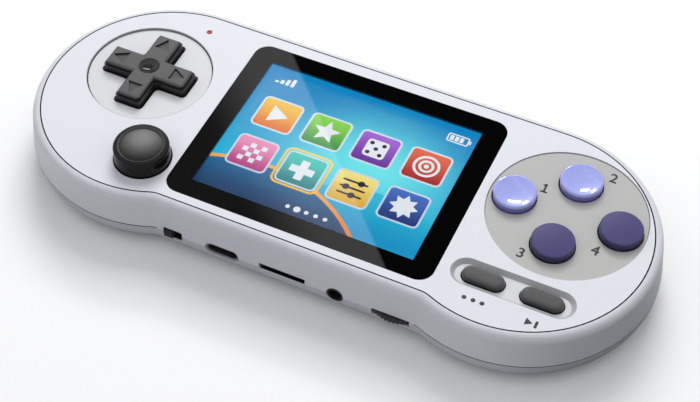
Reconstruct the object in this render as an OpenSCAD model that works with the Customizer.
// Handheld game console: face plate, side band and back shell round a display, a board and the controls.
// It lies on its back: X runs along the case to the face buttons, Y to the shoulder buttons, Z out of the face.
// The case's outline is two round ends joined by a straight top and a bottom edge that is set in between them.

/* [Case] */
// Distance from the lens's sides to the centres of the two round ends
lobe_gap = 14.2; // [13:0.1:16]
// Radius of the face plate's round ends, at its seam
face_r = 32.7; // [32:0.1:36]
// How far the bottom edge is set in between the round ends
neck_in = 3; // [2:0.1:4]
// Radius of the hollow corner where the bottom edge meets a round end
neck_fillet = 7; // [5:0.5:10]
// Thickness of the case from its back to its face
case_t = 17; // [16.6:0.1:19]
// Height of the parting line above the back
part_z = 6.8; // [6.6:0.1:7.2]
// How far the side band's rounded shoulder stands out from the seam
shoulder_out = 2.2; // [1.8:0.1:2.6]
// How far the rounded shoulder drops from the face
shoulder_drop = 2.6; // [1.5:0.1:3]
// How far the side band stands out from the seam at the parting line
flare_out = 3.1; // [2.8:0.1:3.6]
// Radius of the back shell's rounded edge
back_round = 6; // [4:0.1:6.4]
// Thickness of the side band at the parting line
wall = 2; // [1.6:0.1:2.2]
// Thickness of the back shell's floor
floor_t = 1.8; // [1.5:0.1:2.2]
// Thickness of the face plate
face_t = 2; // [1.8:0.1:2.4]
// Gap of the seam round the face plate
seam = 0.35; // [0.1:0.05:0.4]
// Height of the groove along the parting line
groove = 0.35; // [0.2:0.05:0.6]
// Width of the ledge that the face plate rests on
ledge = 1.6; // [1.2:0.1:2.2]
// Thickness of that ledge
ledge_t = 1.5; // [1:0.1:1.8]
// Height of the back shell's tongue inside the side band
tongue = 1; // [0.6:0.1:1.3]

/* [Display] */
// Width of the picture; the case gets longer with it
screen_w = 61; // [56:0.5:66]
// Width of the lens's border at the picture's sides
border_x = 6.05; // [5:0.05:8]
// Width of the lens's border above and below the picture
border_y = 5.2; // [4.5:0.1:8]
// Width of the face plate above the lens
lens_top = 3.65; // [3:0.05:6]
// Width of the face plate below the lens
lens_bottom = 2.65; // [2:0.05:5]
// Width of the clear lens round the picture
window = 1.5; // [0.5:0.1:2]
// Radius of the lens's corners
lens_r = 4; // [2:0.1:6]
// Thickness of the lens
lens_t = 1; // [0.7:0.05:1.1]
// Thickness of the tape under the lens
tape_t = 0.15; // [0.1:0.05:0.25]
// Width of the display module's tray outside the picture at its sides
tray_side = 4; // [3:0.1:4.5]
// Width of that tray above and below the picture
tray_end = 3.4; // [2.5:0.1:3.6]
// Depth of the display module's tray
tray_t = 2.8; // [2:0.1:3.2]
// Width of the display's ribbon
ribbon_w = 20; // [12:1:24]

/* [Direction pad] */
// How far the direction pad is out from the middle of its round end
pad_out = 8.05; // [7.5:0.05:9]
// How far the direction pad is above the middle of its round end
pad_up = 6.6; // [6:0.1:8]
// Radius of the shallow recess round the direction pad
pad_recess_r = 16.9; // [15:0.1:17.5]
// Depth of that recess
pad_recess = 0.6; // [0.3:0.1:0.8]
// Span of the cross where it leaves the recess
pad_span = 24.4; // [22:0.1:25]
// Width of an arm of the cross there
pad_arm = 7.5; // [6.5:0.1:8]
// Height of the cross above the face
pad_h = 2.5; // [2:0.1:4]
// How far the upper part of the cross is set in from the lower part
pad_step = 0.5; // [0.3:0.05:0.7]
// Radius of the rounded upper edge of the cross
pad_round = 0.7; // [0.3:0.1:0.9]
// Radius of the dish in the middle of the cross
pad_dish_r = 2.9; // [1.5:0.1:3]
// Depth of that dish
pad_dish = 1; // [0.3:0.1:1.2]
// Width of the triangles sunk into its arms
mark_w = 4.4; // [2.5:0.1:4.8]
// Length of those triangles
mark_l = 3.9; // [2.5:0.1:5]
// Tilt of the cross each way, in degrees
pad_tilt = 4.5; // [3:0.1:4.8]
// Radius of the ball that the cross rocks on
pad_ball_r = 1.6; // [1.3:0.1:1.8]

/* [Stick] */
// Width of the face plate between the stick's hole and the lens
stick_gap = 1.35; // [0.6:0.05:2]
// How far the stick is below the middle of its round end
stick_down = 20.4; // [20:0.1:21]
// Radius of the stick's ball-shaped skirt
stick_ball = 7.4; // [7:0.05:7.6]
// Radius of the stick's cap
stick_cap_r = 7.25; // [6.5:0.05:7.5]
// Height of the stick's cap above the face
stick_h = 4.9; // [4.8:0.1:6.5]
// Thickness of the cap at its rim
stick_cap_t = 1.6; // [1.4:0.1:2]
// Height of the stick's pivot, the middle of its ball, above the face
stick_pivot = 0.8; // [0.5:0.1:1]
// Tilt of the stick each way, in degrees
stick_tilt = 13; // [8:0.5:14]
// Radius of the stick's round housing
stick_post = 4.6; // [4.4:0.05:4.7]

/* [Face buttons] */
// How far the middle of the button group is out from the middle of its round end
group_out = 8.85; // [8.5:0.05:9]
// How far the middle of the button group is above the middle of its round end
group_up = 7.4; // [6:0.1:7.5]
// Distance from the middle to the left and right buttons
group_dx = 14; // [13:0.1:14.2]
// Distance from the middle to the top and bottom buttons
group_dy = 10.6; // [10.2:0.1:11]
// Radius of the inlaid disc round the buttons
disc_r = 20.4; // [20.3:0.05:20.5]
// How far the inlaid disc lies below the face
disc_drop = 0.3; // [0.1:0.05:0.5]
// Thickness of the inlaid disc
disc_t = 1.2; // [0.8:0.1:1.3]
// Radius of a button
button_r = 5.5; // [5:0.1:5.7]
// Height of a button above the face
button_h = 2; // [1.4:0.1:2.5]
// Travel of a button
button_travel = 1.2; // [0.8:0.1:1.3]

/* [Menu keys] */
// How far the menu keys' recess is out from the middle of its round end
menu_out = 4.75; // [4:0.05:6]
// How far the menu keys' recess is below the middle of its round end
menu_down = 19.5; // [19.2:0.1:21]
// Length of the recess
menu_w = 31.9; // [30:0.1:33]
// Width of the recess
menu_d = 8.3; // [7.5:0.1:9]
// Depth of the recess
menu_recess = 1.1; // [0.5:0.1:1.2]
// Distance between the two keys
key_spacing = 15.1; // [14.5:0.1:16]
// Length of a key
key_w = 10.9; // [10:0.1:12]
// Width of a key
key_d = 4.6; // [4.4:0.1:5.4]
// Height of a key above the face
key_h = 1; // [0.4:0.1:1.2]
// Radius of a key's rounded upper edge
key_round = 1.6; // [0.8:0.1:2]
// Travel of a key
key_travel = 0.8; // [0.5:0.1:1]

/* [Shoulder buttons] */
// Length of a shoulder button
trigger_w = 24; // [20:0.5:24.2]
// Height of a shoulder button
trigger_t = 5; // [4:0.1:5.2]
// Height of a shoulder button's lower edge above the back
trigger_z = 8.1; // [7.9:0.05:8.3]
// Radius of a shoulder button's pin
pin_r = 1; // [0.8:0.05:1.2]
// Swing of a shoulder button, in degrees
trigger_swing = 2.5; // [1.5:0.1:3]

/* [Bottom edge] */
// Place of the power switch along the case
switch_x = -31; // [-31.5:0.1:-30]
// Travel of the power slider
switch_travel = 2; // [1.5:0.1:2.2]
// How far the power slider's knob stands out of the case
knob_out = 0.5; // [0.3:0.1:0.9]
// Place of the charging socket along the case
usb_x = -16.9; // [-18:0.1:-16]
// Width of the charging socket's shell
usb_w = 8.94; // [8.8:0.02:9.1]
// Height of the charging socket's shell
usb_h = 3.2; // [3.1:0.02:3.3]
// Place of the memory card slot along the case
card_x = 0; // [-1:0.1:1]
// Width of the memory card slot
card_w = 11.6; // [11.2:0.1:12]
// Place of the headphone jack along the case
jack_x = 14.5; // [14:0.1:15.5]
// Radius of the headphone jack's bore
jack_r = 1.8; // [1.76:0.01:1.85]
// Length of the headphone jack's bore
jack_l = 12.6; // [11:0.1:14]
// Place of the volume wheel along the case
wheel_x = 29.5; // [29:0.1:30.5]
// Radius of the volume wheel
wheel_r = 8.5; // [8:0.1:9]
// Thickness of the volume wheel
wheel_t = 1.6; // [1.2:0.1:1.7]
// How far the volume wheel stands out of the case
wheel_out = 0.9; // [0.5:0.1:1.3]
// Number of ridges round the volume wheel
wheel_teeth = 48; // [36:4:60]

/* [Board, battery and speaker] */
// Thickness of the board
board_t = 1.2; // [1:0.1:1.4]
// Width of the battery
battery_w = 53; // [48:0.5:54]
// Distance from the face plate's top edge to the battery bay
bay_top = 7.2; // [7:0.1:10]
// Distance from the bottom wall's inside to the battery bay
bay_bottom = 17.3; // [17:0.1:20]
// Thickness of the battery
battery_t = 5.5; // [4.5:0.1:5.6]
// Thickness of the battery door
door_t = 1.5; // [1.2:0.1:1.7]
// How far the speaker is out from the middle of its round end
speaker_out = 5.25; // [3.5:0.05:7]
// How far the speaker is below the middle of its round end
speaker_down = 8; // [6:0.1:9]
// Radius of the speaker
speaker_r = 13; // [11:0.1:14]
// Depth of the speaker
speaker_t = 4; // [3:0.1:4.4]
// Number of slots over the speaker
speaker_slots = 7; // [5:2:9]
// Radius of a case screw
screw_r = 0.95; // [0.8:0.05:1.05]
// Radius of a case screw's head
head_r = 2.1; // [1.8:0.1:2.2]

/* [Fits] */
// Gap round the pieces that are pressed or slid
gap = 0.3; // [0.2:0.05:0.35]
// Gap round the direction pad, which also tilts in its hole
pad_gap = 0.6; // [0.55:0.05:0.7]
// Running clearance of a pin or a ball
run = 0.05; // [0.02:0.01:0.08]
// Gap between pieces that sit against each other
seat = 0.1; // [0.05:0.05:0.2]

/* [Hidden] */
$fn = 64;
e = 0.01;

// The lens, the picture and the display module
lens_w = screen_w + 2 * border_x;
lens_h = 2 * face_r - neck_in - lens_top - lens_bottom;
lens_y = (neck_in - lens_top + lens_bottom) / 2;
screen_h = lens_h - 2 * border_y;
tray_w = screen_w + 2 * tray_side;
tray_h = screen_h + 2 * tray_end;

lobe_spacing = lens_w + 2 * lobe_gap;
lobe_x = lobe_spacing / 2;
// A hollow corner touches its round end at this angle, which is kept to a thousandth of a degree
fillet_reach = face_r + neck_fillet;
neck_a = -round((90 + acos((fillet_reach - neck_in) / fillet_reach)) * 1000) / 1000;
fillet = [lobe_x + fillet_reach * cos(neck_a), fillet_reach * sin(neck_a)];
neck_y = -fillet[1] - neck_fillet;
band_in = flare_out - wall;

// What sits in the round ends keeps its share of them: its sizes are given for ends of this radius
end_r = 32.7;
function fit(v) = v * face_r / end_r;
// What sits along the bottom edge keeps its share of the length: its places are given for this lens
edge_w = 73.1;
function along(v) = v * lens_w / edge_w;

plate_z = case_t - face_t;
board_z = part_z + usb_h / 2;
board_top = board_z + board_t;
edge_y = -neck_y - flare_out;
inner_y = -neck_y - band_in;
board_edge = -neck_y + 1.6;

cross_w = fit(pad_span);
arm_w = fit(pad_arm);
dial_r = fit(pad_recess_r);
dish_r = fit(pad_dish_r);
tri_w = fit(mark_w);
tri_l = fit(mark_l);
// A groove at the foot of the recess's wall draws its outline
foot_w = 0.3;
foot_d = 0.35;
pad_x = -lobe_x - fit(pad_out);
pad_y = fit(pad_up);
flange_t = 1.2;
sheet_t = 0.7;
collar_t = 1.7;
pad_flange_z = plate_z - pad_gap - (cross_w + arm_w) / 2 * sin(pad_tilt);
pad_ball_z = pad_flange_z - flange_t - 0.6;
pad_contact = fit(9);
contact_r = fit(2.4);
dish_ball = (pow(dish_r, 2) + pow(pad_dish, 2)) / (2 * pad_dish);

ball_r = fit(stick_ball);
knob_r = fit(stick_cap_r);
socket_r = fit(stick_post);
stick_x = -lens_w / 2 - stick_gap - ball_r - gap;
stick_y = -fit(stick_down);
pivot_z = case_t + stick_pivot;
ball_in = ball_r - 0.9;
// The skirt reaches as far below the face as a tilt to two sides can lift it
skirt_a = asin(stick_pivot / ball_r) + sqrt(2) * stick_tilt + 3;
shaft_r = 1.2;
trunnion_r = 0.6;
cross_r = 0.45;
well_r = socket_r - 0.9;
yoke_r = well_r - 2 * gap;
yoke_in = yoke_r - 1;
yoke_t = 1.4;
well = yoke_r * sin(stick_tilt) + yoke_t / 2 + gap;

group_x = lobe_x + fit(group_out);
group_y = fit(group_up);
reach_x = fit(group_dx);
reach_y = fit(group_dy);
inlay_r = fit(disc_r);
btn_r = fit(button_r);
group = [[-reach_x, 0], [0, reach_y], [reach_x, 0], [0, -reach_y]];
button_z = plate_z - gap - flange_t;
button_pad_r = fit(3);

key_z = plate_z - gap - flange_t;
key_top = case_t + key_h - key_z;
menu_x = lobe_x + fit(menu_out);
menu_y = -fit(menu_down);
slot_w = fit(menu_w);
slot_d = fit(menu_d);
pill_w = fit(key_w);
pill_d = fit(key_d);
key_pitch = fit(key_spacing);
keys = [-key_pitch / 2, key_pitch / 2];

lever_w = fit(trigger_w);
trigger_in = 0.4;
trigger_x = 0.5;
trigger_lip = 1.2;
pin_x = lobe_x - 4;
pin_y = face_r - 3.2;
sleeve_r = pin_r + 1.2;
tact_x = fit(11);
tact_size = [fit(4.7), fit(2.6), 1.9];
tact_tip = sqrt(pow(face_r - trigger_in, 2) - pow(tact_x + 1, 2)) - (tact_x + 5) * sin(trigger_swing) - seat;
board_r = face_r - fit(3.9);
tact_y = sqrt(pow(board_r, 2) - pow(tact_x + tact_size[0] / 2, 2)) - seat;

power_x = along(switch_x);
charge_x = along(usb_x);
slot_x = along(card_x);
audio_x = along(jack_x);
volume_x = along(wheel_x);
switch_open = [5.4, 3];
knob_w = 2.4;
slider_w = switch_open[0] + switch_travel + 0.2;
wheel_y = edge_y - wheel_out + wheel_r;
wheel_z = part_z - 1.4;
pot_r = 5.5;
jack_body = [6.2, 4.9];
jack_nose_r = jack_r + 0.4;
card_t = 1.9;
card_l = 14.6;
card_z = board_z - card_t / 2;

post_r = 2.6;
post_z = floor_t - 0.8;
post_ring = face_r - ledge - post_r - gap;
screws = [for (s = [-1, 1]) each concat([[s * (lobe_x - 10.2), board_r - 2.5]],
    [for (a = [-37, 37]) [s * (lobe_x + post_ring * cos(a)), post_ring * sin(a)]])];
head_z = 2.2;
screw_l = plate_z - 1.6;

bay_w = battery_w + 4;
bay_y0 = inner_y + bay_bottom;
bay_y1 = face_r - bay_top;
battery_l = bay_y1 - bay_y0 - 5;
tab = 2.2;
door_z = 0.15;
battery_z = door_z + door_t + seat;
tub_t = 1;
tub_top = battery_z + battery_t + seat;
gasket_t = 0.8;
speaker_x = lobe_x + fit(speaker_out);
speaker_y = -fit(speaker_down);
cone_r = fit(speaker_r);
slot_pitch = 2 * (cone_r - 2) / speaker_slots;
led = [-lobe_x - fit(0.73), pin_y - 2.7];
led_r = 0.75;

// The display's ribbon
ribbon_t = 0.2;
ribbon_y = lens_y - tray_h / 2;
ribbon_top = plate_z - tray_t + 1;
ribbon_low = board_top + 0.6;
ribbon_bend = (ribbon_top - ribbon_low) / 2;
bend_c = [ribbon_y - 0.6, (ribbon_top + ribbon_low + ribbon_t) / 2];
connector_y = ribbon_y + 6;

// The stick's cap, in heights above its pivot
cap_top = stick_h - stick_pivot;
cap_low = cap_top - stick_cap_t;
cap_roof = cap_low + 0.2;
socket = cap_roof + 0.8;

usb_y = edge_y + 0.45;
usb_l = 7.3;

// Outlines and profiles

// Points along an arc round c, from angle a0 to a1
function arc(c, r, a0, a1, n = 8) = [for (i = [0:n]) let (a = a0 + (a1 - a0) * i / n) c + r * [cos(a), sin(a)]];

// A rectangle with rounded corners
function rounded(w, h, r) = [for (q = [0:3]) each arc(
    [(q == 0 || q == 3 ? 1 : -1) * (w / 2 - r), (q < 2 ? 1 : -1) * (h / 2 - r)], r, 90 * q, 90 * q + 90)];

// A slot with round ends
function stadium(w, h) = concat(
    arc([(w - h) / 2, 0], h / 2, -90, 90, 12), arc([(h - w) / 2, 0], h / 2, 90, 270, 12));

// A point turned by a quarter turns
function quarter(p, q) = [p[0] * cos(90 * q) - p[1] * sin(90 * q), p[0] * sin(90 * q) + p[1] * cos(90 * q)];

// A cross with rounded ends and hollow inner corners
function cross_points(span, arm, r) = [for (q = [0:3]) each [for (p = concat(
    arc([span / 2 - r, r - arm / 2], r, -90, 0, 4),
    arc([span / 2 - r, arm / 2 - r], r, 0, 90, 4),
    arc([arm / 2 + r, arm / 2 + r], r, 270, 180, 4))) quarter(p, q)]];

// The side band: a rounded shoulder, a flared side, the parting groove, and the ledge under the face plate
function band_profile(g) = concat(
    [for (a = [0:15:90]) [shoulder_out * sin(a), case_t - shoulder_drop * (1 - cos(a))]],
    [[flare_out, part_z + g]],
    g > 0 ? [[flare_out - 2 * g, part_z + g], [flare_out - 2 * g, part_z]] : [],
    [[band_in, part_z], [band_in, plate_z - ledge_t], [-ledge, plate_z - ledge_t], [-ledge, plate_z],
        [0, plate_z]]);

// The back shell's rounded edge, with the tongue that stands inside the side band
function back_profile() = concat(
    [[band_in - seat, part_z], [flare_out, part_z]],
    arc([flare_out - back_round, back_round], back_round, 0, -90, 10),
    [[-7, 0], [-7, floor_t], [band_in - 3.6, floor_t], [band_in - 1, floor_t + 2.2],
        [band_in - 1, part_z + tongue], [band_in - seat, part_z + tongue]]);

// Sweeps a profile round the case: the first child round the ends and along the top edge, and the last
// child along the bottom edge
module round_case() {
    for (s = [0, 1]) mirror([s, 0, 0]) {
        translate([lobe_x, 0, 0]) rotate_extrude(start = neck_a, angle = 90 - neck_a, $fn = 128)
            translate([face_r, 0]) children(0);
        at_fillet() {
            rotate_extrude(start = neck_a + 180, angle = -90 - neck_a)
                translate([neck_fillet, 0]) mirror([1, 0]) children(0);
            rotate([90, 0, -90]) linear_extrude(fillet[0] + 1)
                translate([-neck_fillet, 0]) children($children - 1);
        }
    }
    translate([-lobe_x, 0, 0]) rotate([90, 0, 90]) linear_extrude(lobe_spacing)
        translate([face_r, 0]) children(0);
}

// Moves to a hollow corner's centre, first in hundredths and then by the rest, so that the arcs meet exactly
module at_fillet() let (near = [for (v = fillet) round(v * 100) / 100])
    translate(near) translate(fillet - near) children();

// The flat area inside a rim of the given width
module inside_rim(rim) {
    for (s = [-1, 1]) translate([s * lobe_x, 0]) circle(face_r - rim, $fn = 128);
    translate([-lobe_x, 1 + rim - neck_y]) square([lobe_spacing, face_r + neck_y - 2 * rim - 2]);
}

// A slot-shaped form of the given straight length, with its half profile turned round both ends
module pill(length) for (s = [0, 1]) mirror([s, 0, 0]) {
    translate([length / 2, 0, 0]) rotate_extrude(start = -90, angle = 180) children();
    translate([-length / 2, 0, 0]) mirror([0, s, 0]) rotate([90, 0, 90]) linear_extrude(length) children();
}

module at(points) for (p = points) translate([p[0], p[1], 0]) children();

// A prism that runs out of the bottom edge, from y to y - length
module outward(x, y, z, length) translate([x, y, z]) rotate([90, 0, 0]) linear_extrude(length) children();

// Turns the right-hand pieces into the left-hand ones
module hand(s) mirror([s < 0 ? 1 : 0, 0, 0]) children();

// The case

module front_plate() color("gainsboro") difference() {
    union() {
        round_case() translate([-8, plate_z]) square([8 - seam, face_t]);
        translate([0, 0, plate_z]) linear_extrude(face_t) inside_rim(6);
        at(screws) translate([0, 0, board_top]) cylinder(plate_z - board_top + e, r = post_r);
    }
    at(screws) translate([0, 0, board_top - e]) cylinder(screw_l + seat - board_top, r = screw_r + run);
    translate([0, lens_y, case_t - lens_t - tape_t]) linear_extrude(face_t)
        polygon(rounded(lens_w + 2 * seat, lens_h + 2 * seat, lens_r + seat));
    translate([0, lens_y, plate_z - e]) linear_extrude(face_t)
        polygon(rounded(screen_w + 2 * window, screen_h + 2 * window, 1));
    translate([pad_x, pad_y, case_t - pad_recess]) {
        cylinder(face_t, r = dial_r, $fn = 128);
        translate([0, 0, -foot_d]) difference() {
            cylinder(foot_d + e, r = dial_r, $fn = 128);
            translate([0, 0, -e]) cylinder(foot_d + 3 * e, r = dial_r - foot_w, $fn = 128);
        }
    }
    translate([pad_x, pad_y, plate_z - e]) linear_extrude(face_t)
        polygon(cross_points(cross_w + 2 * pad_gap, arm_w + 2 * pad_gap, 1.2));
    translate([stick_x, stick_y, plate_z - e]) cylinder(face_t + 2 * e, r = ball_r + gap);
    translate([group_x, group_y, case_t - disc_t]) cylinder(face_t, r = inlay_r + 1.5 * seat, $fn = 128);
    translate([group_x, group_y, plate_z - e]) at(group) cylinder(face_t, r = btn_r + gap);
    translate([menu_x, menu_y, case_t]) pill(slot_w - slot_d) polygon([[0, -menu_recess],
        [slot_d / 2 - menu_recess, -menu_recess], [slot_d / 2, 0], [slot_d / 2, 1], [0, 1]]);
    for (x = keys) translate([menu_x + x, menu_y, plate_z - e]) linear_extrude(face_t)
        polygon(stadium(pill_w + 2 * gap, pill_d + 2 * gap));
    at([led]) translate([0, 0, plate_z - e]) cylinder(face_t + 2 * e, r = led_r + run);
}

module mid_frame() color("silver") difference() {
    union() {
        round_case() {
            polygon(band_profile(groove));
            polygon(band_profile(0));
        }
        for (s = [-1, 1]) hand(s) translate([pin_x - 3, pin_y - 3, plate_z - ledge_t])
            cube([6, face_r - pin_y + 3, ledge_t]);
    }
    port_cuts();
    for (s = [-1, 1]) hand(s) {
        translate([lobe_x + trigger_x - gap, pin_y - 20, trigger_z - gap])
            cube([lever_w + 2 * gap, 60, trigger_t + 2 * gap]);
        translate([pin_x, pin_y, plate_z - ledge_t - e]) cylinder(ledge_t + 2 * e, r = pin_r + run);
    }
}

module back_shell() color("darkgray") difference() {
    union() {
        round_case() polygon(back_profile());
        linear_extrude(floor_t) inside_rim(6);
        at(screws) translate([0, 0, post_z]) cylinder(board_z - post_z, r = post_r);
        translate([-bay_w / 2 - tub_t, bay_y0 - tub_t, 0])
            cube([bay_w + 2 * tub_t, bay_y1 - bay_y0 + tab + 2 * tub_t + 0.5, tub_top + 0.6]);
        for (s = [-1, 1]) hand(s) translate([pin_x, pin_y, post_z])
            cylinder(trigger_z - gap - post_z, r = sleeve_r);
        translate([speaker_x, speaker_y, 0]) cylinder(floor_t + 3, r = cone_r + 1.2);
    }
    port_cuts();
    translate([-bay_w / 2, bay_y0, floor_t]) cube([bay_w, bay_y1 - bay_y0 + tab + 0.5, tub_top - floor_t]);
    translate([-bay_w / 2, bay_y0, -e]) cube([bay_w, bay_y1 - bay_y0, floor_t + 2 * e]);
    translate([0, bay_y0 - 1.5, -e]) linear_extrude(0.7) polygon(stadium(14, 6));
    translate([speaker_x, speaker_y, floor_t]) cylinder(10, r = cone_r + seat);
    translate([speaker_x, speaker_y, -e]) for (i = [0:speaker_slots - 1])
        let (x = (i - (speaker_slots - 1) / 2) * slot_pitch, half = sqrt(pow(cone_r - 2.4, 2) - x * x))
            translate([x, 0, 0]) linear_extrude(floor_t + 2 * e) rotate(90)
                polygon(stadium(2 * half, slot_pitch / 2));
    at(screws) {
        translate([0, 0, -e]) cylinder(head_z + e, r = head_r + gap);
        cylinder(board_z + e, r = screw_r + gap);
    }
    for (s = [-1, 1]) hand(s) translate([pin_x, pin_y, floor_t]) cylinder(trigger_z, r = pin_r + run);
}

// What the bottom edge's sockets and controls cut out of the side band and the back shell
module port_cuts() {
    outward(power_x, inner_y + 4, part_z, 12) polygon(rounded(switch_open[0], switch_open[1], 0.6));
    outward(power_x, inner_y + 4, part_z, 4 - seat)
        square([slider_w + switch_travel + 2 * gap, 4.6], center = true);
    outward(charge_x, inner_y + 6, part_z, 14) polygon(stadium(usb_w + 2 * gap, usb_h + 2 * gap));
    outward(slot_x, inner_y + 4, card_z, 12) polygon(rounded(card_w + 1, 1.5, 0.4));
    outward(slot_x, inner_y + 4, card_z, 4 - seat) square([card_w + 3.4, card_t + 2 * gap], center = true);
    outward(audio_x, inner_y + 4, part_z, 12) circle(jack_nose_r + seat);
    outward(audio_x, inner_y + 4, part_z, 4 - seat)
        square([jack_body[0] + 2 * gap, jack_body[1] + 2 * gap], center = true);
    translate([volume_x, wheel_y, wheel_z - gap]) cylinder(wheel_t + 2 * gap, r = wheel_r + 2 * gap);
    translate([volume_x, wheel_y, wheel_z]) cylinder(board_z - wheel_z, r = pot_r + gap);
}

module battery_door() color("darkgray") {
    translate([-bay_w / 2 + gap, bay_y0 + gap, door_z])
        cube([bay_w - 2 * gap, bay_y1 - bay_y0 - 2 * gap, door_t]);
    for (s = [-1, 1]) translate([s * bay_w / 4 - 4, bay_y1 - gap - 2.4, door_z]) {
        cube([8, 2.4, floor_t + seat + 1 - door_z]);
        translate([0, 2, floor_t + seat - door_z]) cube([8, tab + 0.4, 1]);
    }
}

module case_screws() color("dimgray") at(screws) difference() {
    union() {
        translate([0, 0, head_z - 1.5]) cylinder(1.5, r = head_r);
        translate([0, 0, head_z - e]) cylinder(screw_l - head_z, r = screw_r);
    }
    translate([0, 0, head_z - 1.5 - e]) for (a = [0, 90]) rotate(a)
        translate([-1.2, -0.3, 0]) cube([2.4, 0.6, 0.9]);
}

// The display

module display_lens() color([0.05, 0.05, 0.06]) translate([0, lens_y, case_t - lens_t]) linear_extrude(lens_t)
    polygon(rounded(lens_w, lens_h, lens_r));

module lens_tape() color("black") translate([0, lens_y, case_t - lens_t - tape_t]) linear_extrude(tape_t)
    difference() {
        polygon(rounded(lens_w - 1, lens_h - 1, lens_r - 0.5));
        polygon(rounded(screen_w + 2 * window, screen_h + 2 * window, 1));
    }

module lcd_tray() color("lightgray") translate([0, lens_y, plate_z - tray_t]) difference() {
    linear_extrude(tray_t) polygon(rounded(tray_w, tray_h, 1));
    translate([0, 0, 0.8]) linear_extrude(tray_t) polygon(rounded(tray_w - 1.6, tray_h - 1.6, 0.6));
}

module lcd_panel() color("dodgerblue") translate([0, lens_y, plate_z - tray_t + 0.8])
    linear_extrude(tray_t - 0.8) polygon(rounded(tray_w - 1.8, tray_h - 1.8, 0.5));

// The ribbon leaves the tray's lower edge, folds under and runs to its connector on the board
module lcd_ribbon() color("peru") translate([-ribbon_w / 2, 0, 0]) rotate([90, 0, 90]) linear_extrude(ribbon_w)
    polygon(concat(
        [[ribbon_y, ribbon_top + ribbon_t]],
        arc(bend_c, ribbon_bend + ribbon_t / 2, 90, 270, 12),
        [[connector_y, ribbon_low], [connector_y, ribbon_low + ribbon_t]],
        arc(bend_c, ribbon_bend - ribbon_t / 2, 270, 90, 12),
        [[ribbon_y, ribbon_top]]));

module ribbon_connector() color("ivory") translate([-ribbon_w / 2 - 1.5, connector_y, board_top])
    cube([ribbon_w + 3, 4, 1.2]);

module led_pipe() color("red") at([led]) {
    translate([0, 0, board_top + 1.1]) cylinder(case_t - board_top - 1.1, r = led_r);
    translate([0, 0, plate_z - 1.2]) cylinder(1.2, r = led_r + 0.7);
}

module led_chip() color("white") at([led]) translate([-0.8, -0.5, board_top]) cube([1.6, 1, 1]);

// The board, the battery and the speaker

module main_board() color("seagreen") translate([0, 0, board_z]) linear_extrude(board_t) difference() {
    union() {
        intersection() {
            inside_rim(face_r - board_r);
            translate([-200, -100]) square([400, 100 + pin_y - 1.4]);
        }
        translate([-fillet[0], board_edge]) square([2 * fillet[0], neck_y]);
    }
    at(screws) circle(screw_r + gap);
    for (s = [-1, 1]) translate([s * pin_x, pin_y]) circle(sleeve_r + 2 * gap);
    translate([audio_x - jack_body[0] / 2 - gap, -60])
        square([jack_body[0] + 2 * gap, 60 + edge_y + jack_l + 1 + gap]);
}

module board_chips() color([0.15, 0.15, 0.17]) {
    for (c = [[4, 4, 12, 12, 1.2], [-14, 6, 9, 11, 1], [-15, -6, 6, 5, 1.2], [18, 12, 4, 5, 1.2],
        [20, 0, 7, 4, 1]])
        translate([c[0] - c[2] / 2, c[1] - c[3] / 2, board_top]) cube([c[2], c[3], c[4]]);
    for (c = [[38, -4, 5, 6, 1.4], [-40, 2, 8, 8, 1.2], [-36, -12, 4, 4, 1]])
        translate([c[0] - c[2] / 2, c[1] - c[3] / 2, board_z - c[4]]) cube([c[2], c[3], c[4]]);
}

module battery_pack() color("darkblue") translate([0, bay_y0 + 1.2 + battery_l / 2, battery_z])
    linear_extrude(battery_t) polygon(rounded(battery_w, battery_l, 2));

module battery_contacts() color("gold") for (i = [-1:1])
    translate([i * 6 - 0.8, bay_y0, battery_z + 1]) cube([1.6, 1.2 - seat, battery_t - 1 + seat]);

module speaker() color("dimgray") translate([speaker_x, speaker_y, floor_t + gasket_t]) rotate_extrude()
    polygon([[0, 0.8], [cone_r * 0.35, 1.6], [cone_r * 0.75, 0.4], [cone_r * 0.85, 0], [cone_r, 0],
        [cone_r, 1.2], [cone_r * 0.7, speaker_t - 1.4], [cone_r * 0.7, speaker_t], [0, speaker_t]]);

module speaker_gasket() color("black") translate([speaker_x, speaker_y, floor_t]) difference() {
    cylinder(gasket_t, r = cone_r);
    translate([0, 0, -e]) cylinder(gasket_t + 2 * e, r = cone_r * 0.86);
}

// The bottom edge's sockets and controls

module usb_socket() color("silver") difference() {
    outward(charge_x, usb_y + usb_l, part_z, usb_l) polygon(stadium(usb_w, usb_h));
    outward(charge_x, usb_y + usb_l - 0.5, part_z, usb_l) polygon(stadium(usb_w - 0.6, usb_h - 0.6));
}

module usb_tongue() color("black") outward(charge_x, usb_y + usb_l - 0.5, part_z, usb_l - 1.5)
    square([6.6, 0.7], center = true);

module card_socket() color("silver") difference() {
    outward(slot_x, inner_y + 0.2 + card_l, card_z, card_l) square([card_w + 2.4, card_t], center = true);
    outward(slot_x, inner_y + 0.2 + card_l - 1, card_z, card_l) square([card_w, card_t - 0.7], center = true);
}

module headphone_jack() color("black") difference() {
    union() {
        outward(audio_x, edge_y + jack_l + 1, part_z, jack_l + 1 - (inner_y + 0.2 - edge_y))
            square(jack_body, center = true);
        outward(audio_x, inner_y + 1, part_z, inner_y + 1 - edge_y - 0.1) circle(jack_nose_r);
    }
    outward(audio_x, edge_y + jack_l + 0.1, part_z, 20) circle(jack_r);
}

module power_switch_body() color("dimgray") translate([power_x - 4.3, inner_y + 1.3, part_z - 1.8])
    cube([8.6, 3.6, board_z - part_z + 1.8]);

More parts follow.
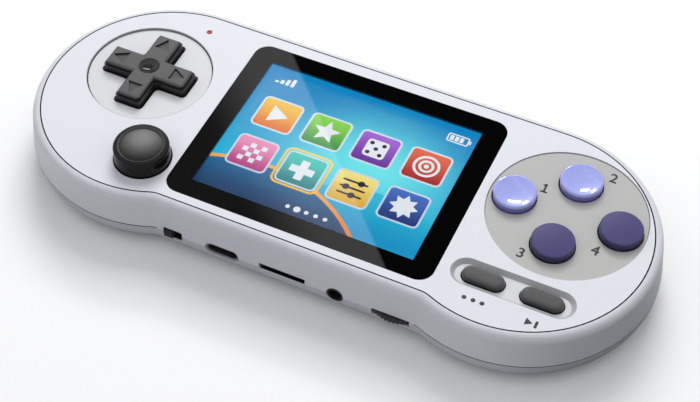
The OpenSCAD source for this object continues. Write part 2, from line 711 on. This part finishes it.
module power_slider() color([0.1, 0.1, 0.1]) translate([power_x, 0, part_z]) {
    translate([-(slider_w + switch_travel) / 2, inner_y + gap, -1.8]) cube([slider_w, 0.9, 3.6]);
    translate([-(switch_travel + knob_w) / 2, edge_y - knob_out, -1.1])
        cube([knob_w, inner_y + 0.6 - edge_y + knob_out, 2.2]);
}

module volume_pot() color("dimgray") translate([volume_x, wheel_y, 0]) {
    translate([0, 0, wheel_z + wheel_t + seat]) cylinder(board_z - wheel_z - wheel_t - seat, r = pot_r);
    translate([0, 0, wheel_z - 0.5]) cylinder(wheel_t + 1, r = 1.4);
    translate([0, 0, wheel_z - 0.6]) cylinder(0.5, r = 2.4);
}

module volume_wheel() color([0.12, 0.12, 0.12]) translate([volume_x, wheel_y, wheel_z]) difference() {
    linear_extrude(wheel_t) polygon([for (i = [0:2 * wheel_teeth - 1])
        let (r = wheel_r - (i % 2) * 0.35, a = i * 180 / wheel_teeth) r * [cos(a), sin(a)]]);
    translate([0, 0, -e]) cylinder(wheel_t + 2 * e, r = 1.4 + run);
}

// The direction pad

module d_pad() color([0.23, 0.23, 0.24]) translate([pad_x, pad_y, 0]) difference() {
    union() {
        translate([0, 0, pad_flange_z - flange_t]) linear_extrude(flange_t)
            polygon(cross_points(cross_w + 2.6, arm_w + 2.5, 1));
        translate([0, 0, pad_flange_z - e]) linear_extrude(case_t + pad_h * 0.5 - pad_flange_z)
            polygon(cross_points(cross_w, arm_w, 1));
        translate([0, 0, case_t]) linear_extrude(pad_h - pad_round)
            polygon(cross_points(cross_w - 2 * pad_step, arm_w - 2 * pad_step, 0.9));
        translate([0, 0, case_t]) intersection() {
            linear_extrude(pad_h) polygon(cross_points(cross_w - 2 * pad_step, arm_w - 2 * pad_step, 0.9));
            for (q = [0, 1]) rotate(90 * q) intersection() {
                round_bar(cross_w - 2 * pad_step, arm_w);
                rotate(90) round_bar(arm_w - 2 * pad_step, cross_w);
            }
        }
    }
    translate([0, 0, case_t + pad_h + dish_ball - pad_dish]) sphere(dish_ball);
    for (q = [0:3]) rotate(90 * q) translate([cross_w / 2 - tri_l - 1.4, 0, case_t + pad_h - 0.5])
        linear_extrude(1) polygon([[0, -tri_w / 2], [tri_l, 0], [0, tri_w / 2]]);
    translate([0, 0, pad_ball_z]) sphere(pad_ball_r + run);
}

// A bar across the given width along X, with its two upper edges rounded
module round_bar(width, length) translate([0, length / 2, 0]) rotate([90, 0, 0]) linear_extrude(length)
    polygon(concat([[-width / 2, 0], [width / 2, 0]],
        arc([width / 2 - pad_round, pad_h - pad_round], pad_round, 0, 90, 5),
        arc([pad_round - width / 2, pad_h - pad_round], pad_round, 90, 180, 5)));

module d_pad_ball() color("silver") translate([pad_x, pad_y, pad_ball_z]) sphere(pad_ball_r);

module d_pad_post() color("dimgray") translate([pad_x, pad_y, 0]) difference() {
    translate([0, 0, board_top]) cylinder(pad_ball_z - 0.6 - board_top, r = pad_ball_r + 1);
    translate([0, 0, pad_ball_z]) sphere(pad_ball_r + run);
}

module d_pad_contacts() color("lightgray") translate([pad_x, pad_y, 0]) for (q = [0:3]) rotate(90 * q)
    translate([pad_contact, 0, board_top + (pad_contact + 5) * sin(pad_tilt) + seat])
        cylinder(pad_flange_z - flange_t - board_top - (pad_contact + 5) * sin(pad_tilt) - seat,
            r = contact_r);

module d_pad_membrane() color("lightgray") translate([pad_x, pad_y, board_top]) difference() {
    cylinder(sheet_t, r = dial_r - 2, $fn = 96);
    translate([0, 0, -e]) cylinder(sheet_t + 2 * e, r = pad_ball_r + 1 + gap);
    for (q = [0:3]) rotate(90 * q) translate([pad_contact, 0, -e])
        cylinder(sheet_t + 2 * e, r = contact_r + 2 * gap);
}

// The stick: a yoke turns on the housing's walls, and the shaft turns on a cross pin in the yoke

module stick_housing() color("silver") translate([stick_x, stick_y, 0]) difference() {
    union() {
        translate([0, 0, board_top]) cylinder(1, r = socket_r + 1);
        translate([0, 0, board_top]) cylinder(pivot_z - well - board_top, r = well_r);
        translate([0, 0, pivot_z - well - 0.8]) cylinder(well + 0.8 + trunnion_r + gap, r = socket_r);
    }
    translate([0, 0, pivot_z - well]) cylinder(2 * well, r = well_r);
    translate([-2 * socket_r, 0, pivot_z]) rotate([0, 90, 0]) cylinder(4 * socket_r, r = trunnion_r + run);
}

module stick_yoke() color("dimgray") translate([stick_x, stick_y, pivot_z]) difference() {
    union() {
        translate([0, 0, -yoke_t / 2]) cylinder(yoke_t, r = yoke_r);
        for (s = [-1, 1]) rotate([0, s * 90, 0]) translate([0, 0, yoke_r - 0.4])
            cylinder(socket_r - yoke_r + 0.3, r = trunnion_r);
    }
    translate([0, 0, -yoke_t]) cylinder(2 * yoke_t, r = yoke_in);
    translate([0, 2 * yoke_r, 0]) rotate([90, 0, 0]) cylinder(4 * yoke_r, r = cross_r + run);
}

module stick_shaft() color("dimgray") translate([stick_x, stick_y, pivot_z]) {
    translate([0, 0, -0.9]) cylinder(socket - seat + 0.9, r = shaft_r);
    translate([0, yoke_r - 0.2, 0]) rotate([90, 0, 0]) cylinder(2 * yoke_r - 0.4, r = cross_r);
}

module stick_cap() color([0.1, 0.1, 0.1]) translate([stick_x, stick_y, pivot_z]) rotate_extrude($fn = 96)
    polygon(concat(
        [[0, socket], [shaft_r + seat / 4, socket], [shaft_r + seat / 4, cap_roof]],
        arc([0, 0], ball_in, asin(cap_roof / ball_in), -skirt_a),
        arc([0, 0], ball_r, -skirt_a, asin(cap_low / ball_r), 10),
        arc([knob_r - 0.5, cap_low + 0.5], 0.5, -60, 0, 4),
        arc([knob_r - 1, cap_top - 1], 1, 0, 90, 6),
        [[knob_r - 1.3, cap_top], [knob_r - 1.6, cap_top - 0.45]],
        [for (r = [0.8:-0.2:0]) [(knob_r - 1.6) * r, cap_top - 0.45 + 0.4 * (1 - r * r)]]));

// The face buttons: the left and top ones are dished, the right and bottom ones are domed

module face_button(i, tint) color(tint) translate([group_x + group[i][0], group_y + group[i][1], 0])
    rotate_extrude() polygon(concat(
        [[0, button_z], [btn_r + 1, button_z], [btn_r + 1, button_z + flange_t],
            [btn_r, button_z + flange_t]],
        arc([btn_r - 0.6, case_t + button_h - 0.6], 0.6, 0, 90, 5),
        [for (r = [0.8:-0.2:0]) [(btn_r - 0.6) * r,
            case_t + button_h + (i < 2 ? -0.45 : 0.35) * (1 - r * r)]]));

module face_button_left() face_button(0, [0.66, 0.67, 0.9]);
module face_button_top() face_button(1, [0.66, 0.67, 0.9]);
module face_button_right() face_button(2, [0.34, 0.32, 0.5]);
module face_button_bottom() face_button(3, [0.34, 0.32, 0.5]);

module button_plunger(i) color("lightgray") translate([group_x + group[i][0], group_y + group[i][1],
    board_top + button_travel + seat]) cylinder(button_z - board_top - button_travel - seat, r = button_pad_r);

module button_plunger_left() button_plunger(0);
module button_plunger_top() button_plunger(1);
module button_plunger_right() button_plunger(2);
module button_plunger_bottom() button_plunger(3);

module button_disc() color([0.76, 0.76, 0.75]) translate([group_x, group_y, case_t - disc_t]) difference() {
    cylinder(disc_t - disc_drop, r = inlay_r, $fn = 128);
    at(group) translate([0, 0, -e]) cylinder(disc_t, r = btn_r + gap);
}

module face_button_membrane() color("lightgray") translate([group_x, group_y, board_top]) difference() {
    union() {
        at(group) cylinder(sheet_t + collar_t, r = button_pad_r + 2 * gap + 1);
        at(group) cylinder(sheet_t, r = button_pad_r + fit(1.7));
        linear_extrude(sheet_t) polygon(group);
    }
    at(group) translate([0, 0, -e]) cylinder(9, r = button_pad_r + 2 * gap);
}

// The menu keys

module menu_key(x) color([0.25, 0.25, 0.26]) translate([menu_x + x, menu_y, key_z]) {
    linear_extrude(flange_t) polygon(stadium(pill_w + 1.6, pill_d + 1.6));
    pill(pill_w - pill_d) polygon(concat([[0, flange_t / 2], [pill_d / 2, flange_t / 2]],
        arc([pill_d / 2 - key_round, key_top - key_round], key_round, 0, 80, 6), [[0, key_top]]));
}

module select_button() menu_key(keys[0]);
module start_button() menu_key(keys[1]);

module menu_plunger(x) color("lightgray") translate([menu_x + x, menu_y, board_top + key_travel + seat])
    cylinder(key_z - board_top - key_travel - seat, r = 1.8);

module select_plunger() menu_plunger(keys[0]);
module start_plunger() menu_plunger(keys[1]);

module menu_membrane() color("lightgray") translate([menu_x, menu_y, board_top]) difference() {
    linear_extrude(sheet_t) polygon(stadium(slot_w - 2, slot_d - 1));
    for (x = keys) translate([x, 0, -e]) cylinder(9, r = 1.8 + 2 * gap);
}

// The shoulder buttons: curved paddles that swing on a pin behind the straight part of the top edge

module paddle(out, x1) translate([lobe_x, 0, trigger_z]) intersection() {
    rotate_extrude(start = 36, angle = 54, $fn = 128) polygon([[face_r - trigger_in, 0],
        [face_r + out - 0.6, 0], [face_r + out, 0.6], [face_r + out, trigger_t - 0.6],
        [face_r + out - 0.6, trigger_t], [face_r - trigger_in, trigger_t]]);
    translate([trigger_x, 0, -1]) cube([x1 - trigger_x, 60, trigger_t + 2]);
}

module shoulder_button(s) color([0.3, 0.3, 0.32]) hand(s) difference() {
    union() {
        paddle(flare_out, trigger_x + lever_w);
        paddle(band_in - gap, trigger_x + lever_w + trigger_lip);
        translate([pin_x, pin_y - 0.6, trigger_z]) cube([lobe_x + 5 - pin_x, 2.4, trigger_t]);
        translate([lobe_x + trigger_x, pin_y - 0.6, trigger_z])
            cube([5 - trigger_x, face_r + 1.1 - pin_y, trigger_t]);
        translate([pin_x, pin_y, trigger_z]) cylinder(trigger_t, r = sleeve_r);
    }
    translate([pin_x, pin_y, trigger_z - e]) cylinder(trigger_t + 2 * e, r = pin_r + run);
}

module shoulder_button_left() shoulder_button(-1);
module shoulder_button_right() shoulder_button(1);

module shoulder_pins() color("silver") for (s = [-1, 1]) hand(s) translate([pin_x, pin_y, floor_t])
    cylinder(plate_z - floor_t, r = pin_r);

module shoulder_switch(s) color("dimgray") hand(s) translate([lobe_x + tact_x, 0, board_top]) {
    translate([-tact_size[0] / 2, tact_y - tact_size[1], 0]) cube(tact_size);
    translate([-0.8, tact_y - 0.2, tact_size[2] / 2 - 0.5]) cube([1.6, tact_tip - tact_y + 0.2, 1]);
}

module shoulder_switch_left() shoulder_switch(-1);
module shoulder_switch_right() shoulder_switch(1);

front_plate();
mid_frame();
back_shell();
battery_door();
case_screws();
display_lens();
lens_tape();
lcd_panel();
lcd_tray();
lcd_ribbon();
ribbon_connector();
button_disc();
main_board();
board_chips();
battery_pack();
battery_contacts();
speaker();
speaker_gasket();
usb_socket();
usb_tongue();
card_socket();
headphone_jack();
power_switch_body();
power_slider();
volume_pot();
volume_wheel();
led_pipe();
led_chip();
d_pad();
d_pad_ball();
d_pad_post();
d_pad_contacts();
d_pad_membrane();
stick_housing();
stick_yoke();
stick_shaft();
stick_cap();
face_button_left();
face_button_top();
face_button_right();
face_button_bottom();
button_plunger_left();
button_plunger_top();
button_plunger_right();
button_plunger_bottom();
face_button_membrane();
select_button();
start_button();
select_plunger();
start_plunger();
menu_membrane();
shoulder_button_left();
shoulder_button_right();
shoulder_pins();
shoulder_switch_left();
shoulder_switch_right();
